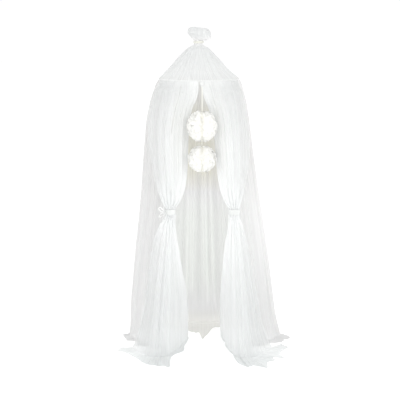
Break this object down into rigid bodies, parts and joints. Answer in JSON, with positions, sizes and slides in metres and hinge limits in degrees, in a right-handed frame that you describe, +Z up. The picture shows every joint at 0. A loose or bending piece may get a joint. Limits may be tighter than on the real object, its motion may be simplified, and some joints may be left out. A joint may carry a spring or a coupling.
{
  "type": "crib canopy with hoop",
  "caption": "Hanging crib canopy of gathered white tulle on a round hoop, with tied front curtains, two ruffled pompoms and hems that spread on the floor.",
  "frame": {"origin": "hanging point at the top of the puff; the floor under the hems is 2.45 m below it", "axes": "+Z up, -Y the front where the curtains part, +X to the right as seen from the front"},
  "size_m": [1.3386, 1.0477, 2.4529],
  "materials": {
    "white_tulle": "sheer matte net, gathered",
    "pompom_tulle": "matte ruffled net",
    "cream_band": "matte wound cord",
    "hoop_white": "smooth"
  },
  "bodies": {
    "root": {"roof": "white_tulle", "back_drape": "white_tulle", "left_front_panel": "white_tulle", "right_front_panel": "white_tulle", "left_tie": "white_tulle", "right_tie": "white_tulle", "neck_tie": "cream_band", "hoop": "hoop_white", "string_knot": "pompom_tulle", "pompom_string_upper": "cream_band", "pompom_string_lower": "cream_band", "pompom_upper": "pompom_tulle", "pompom_lower": "pompom_tulle"}
  },
  "joints": []
}
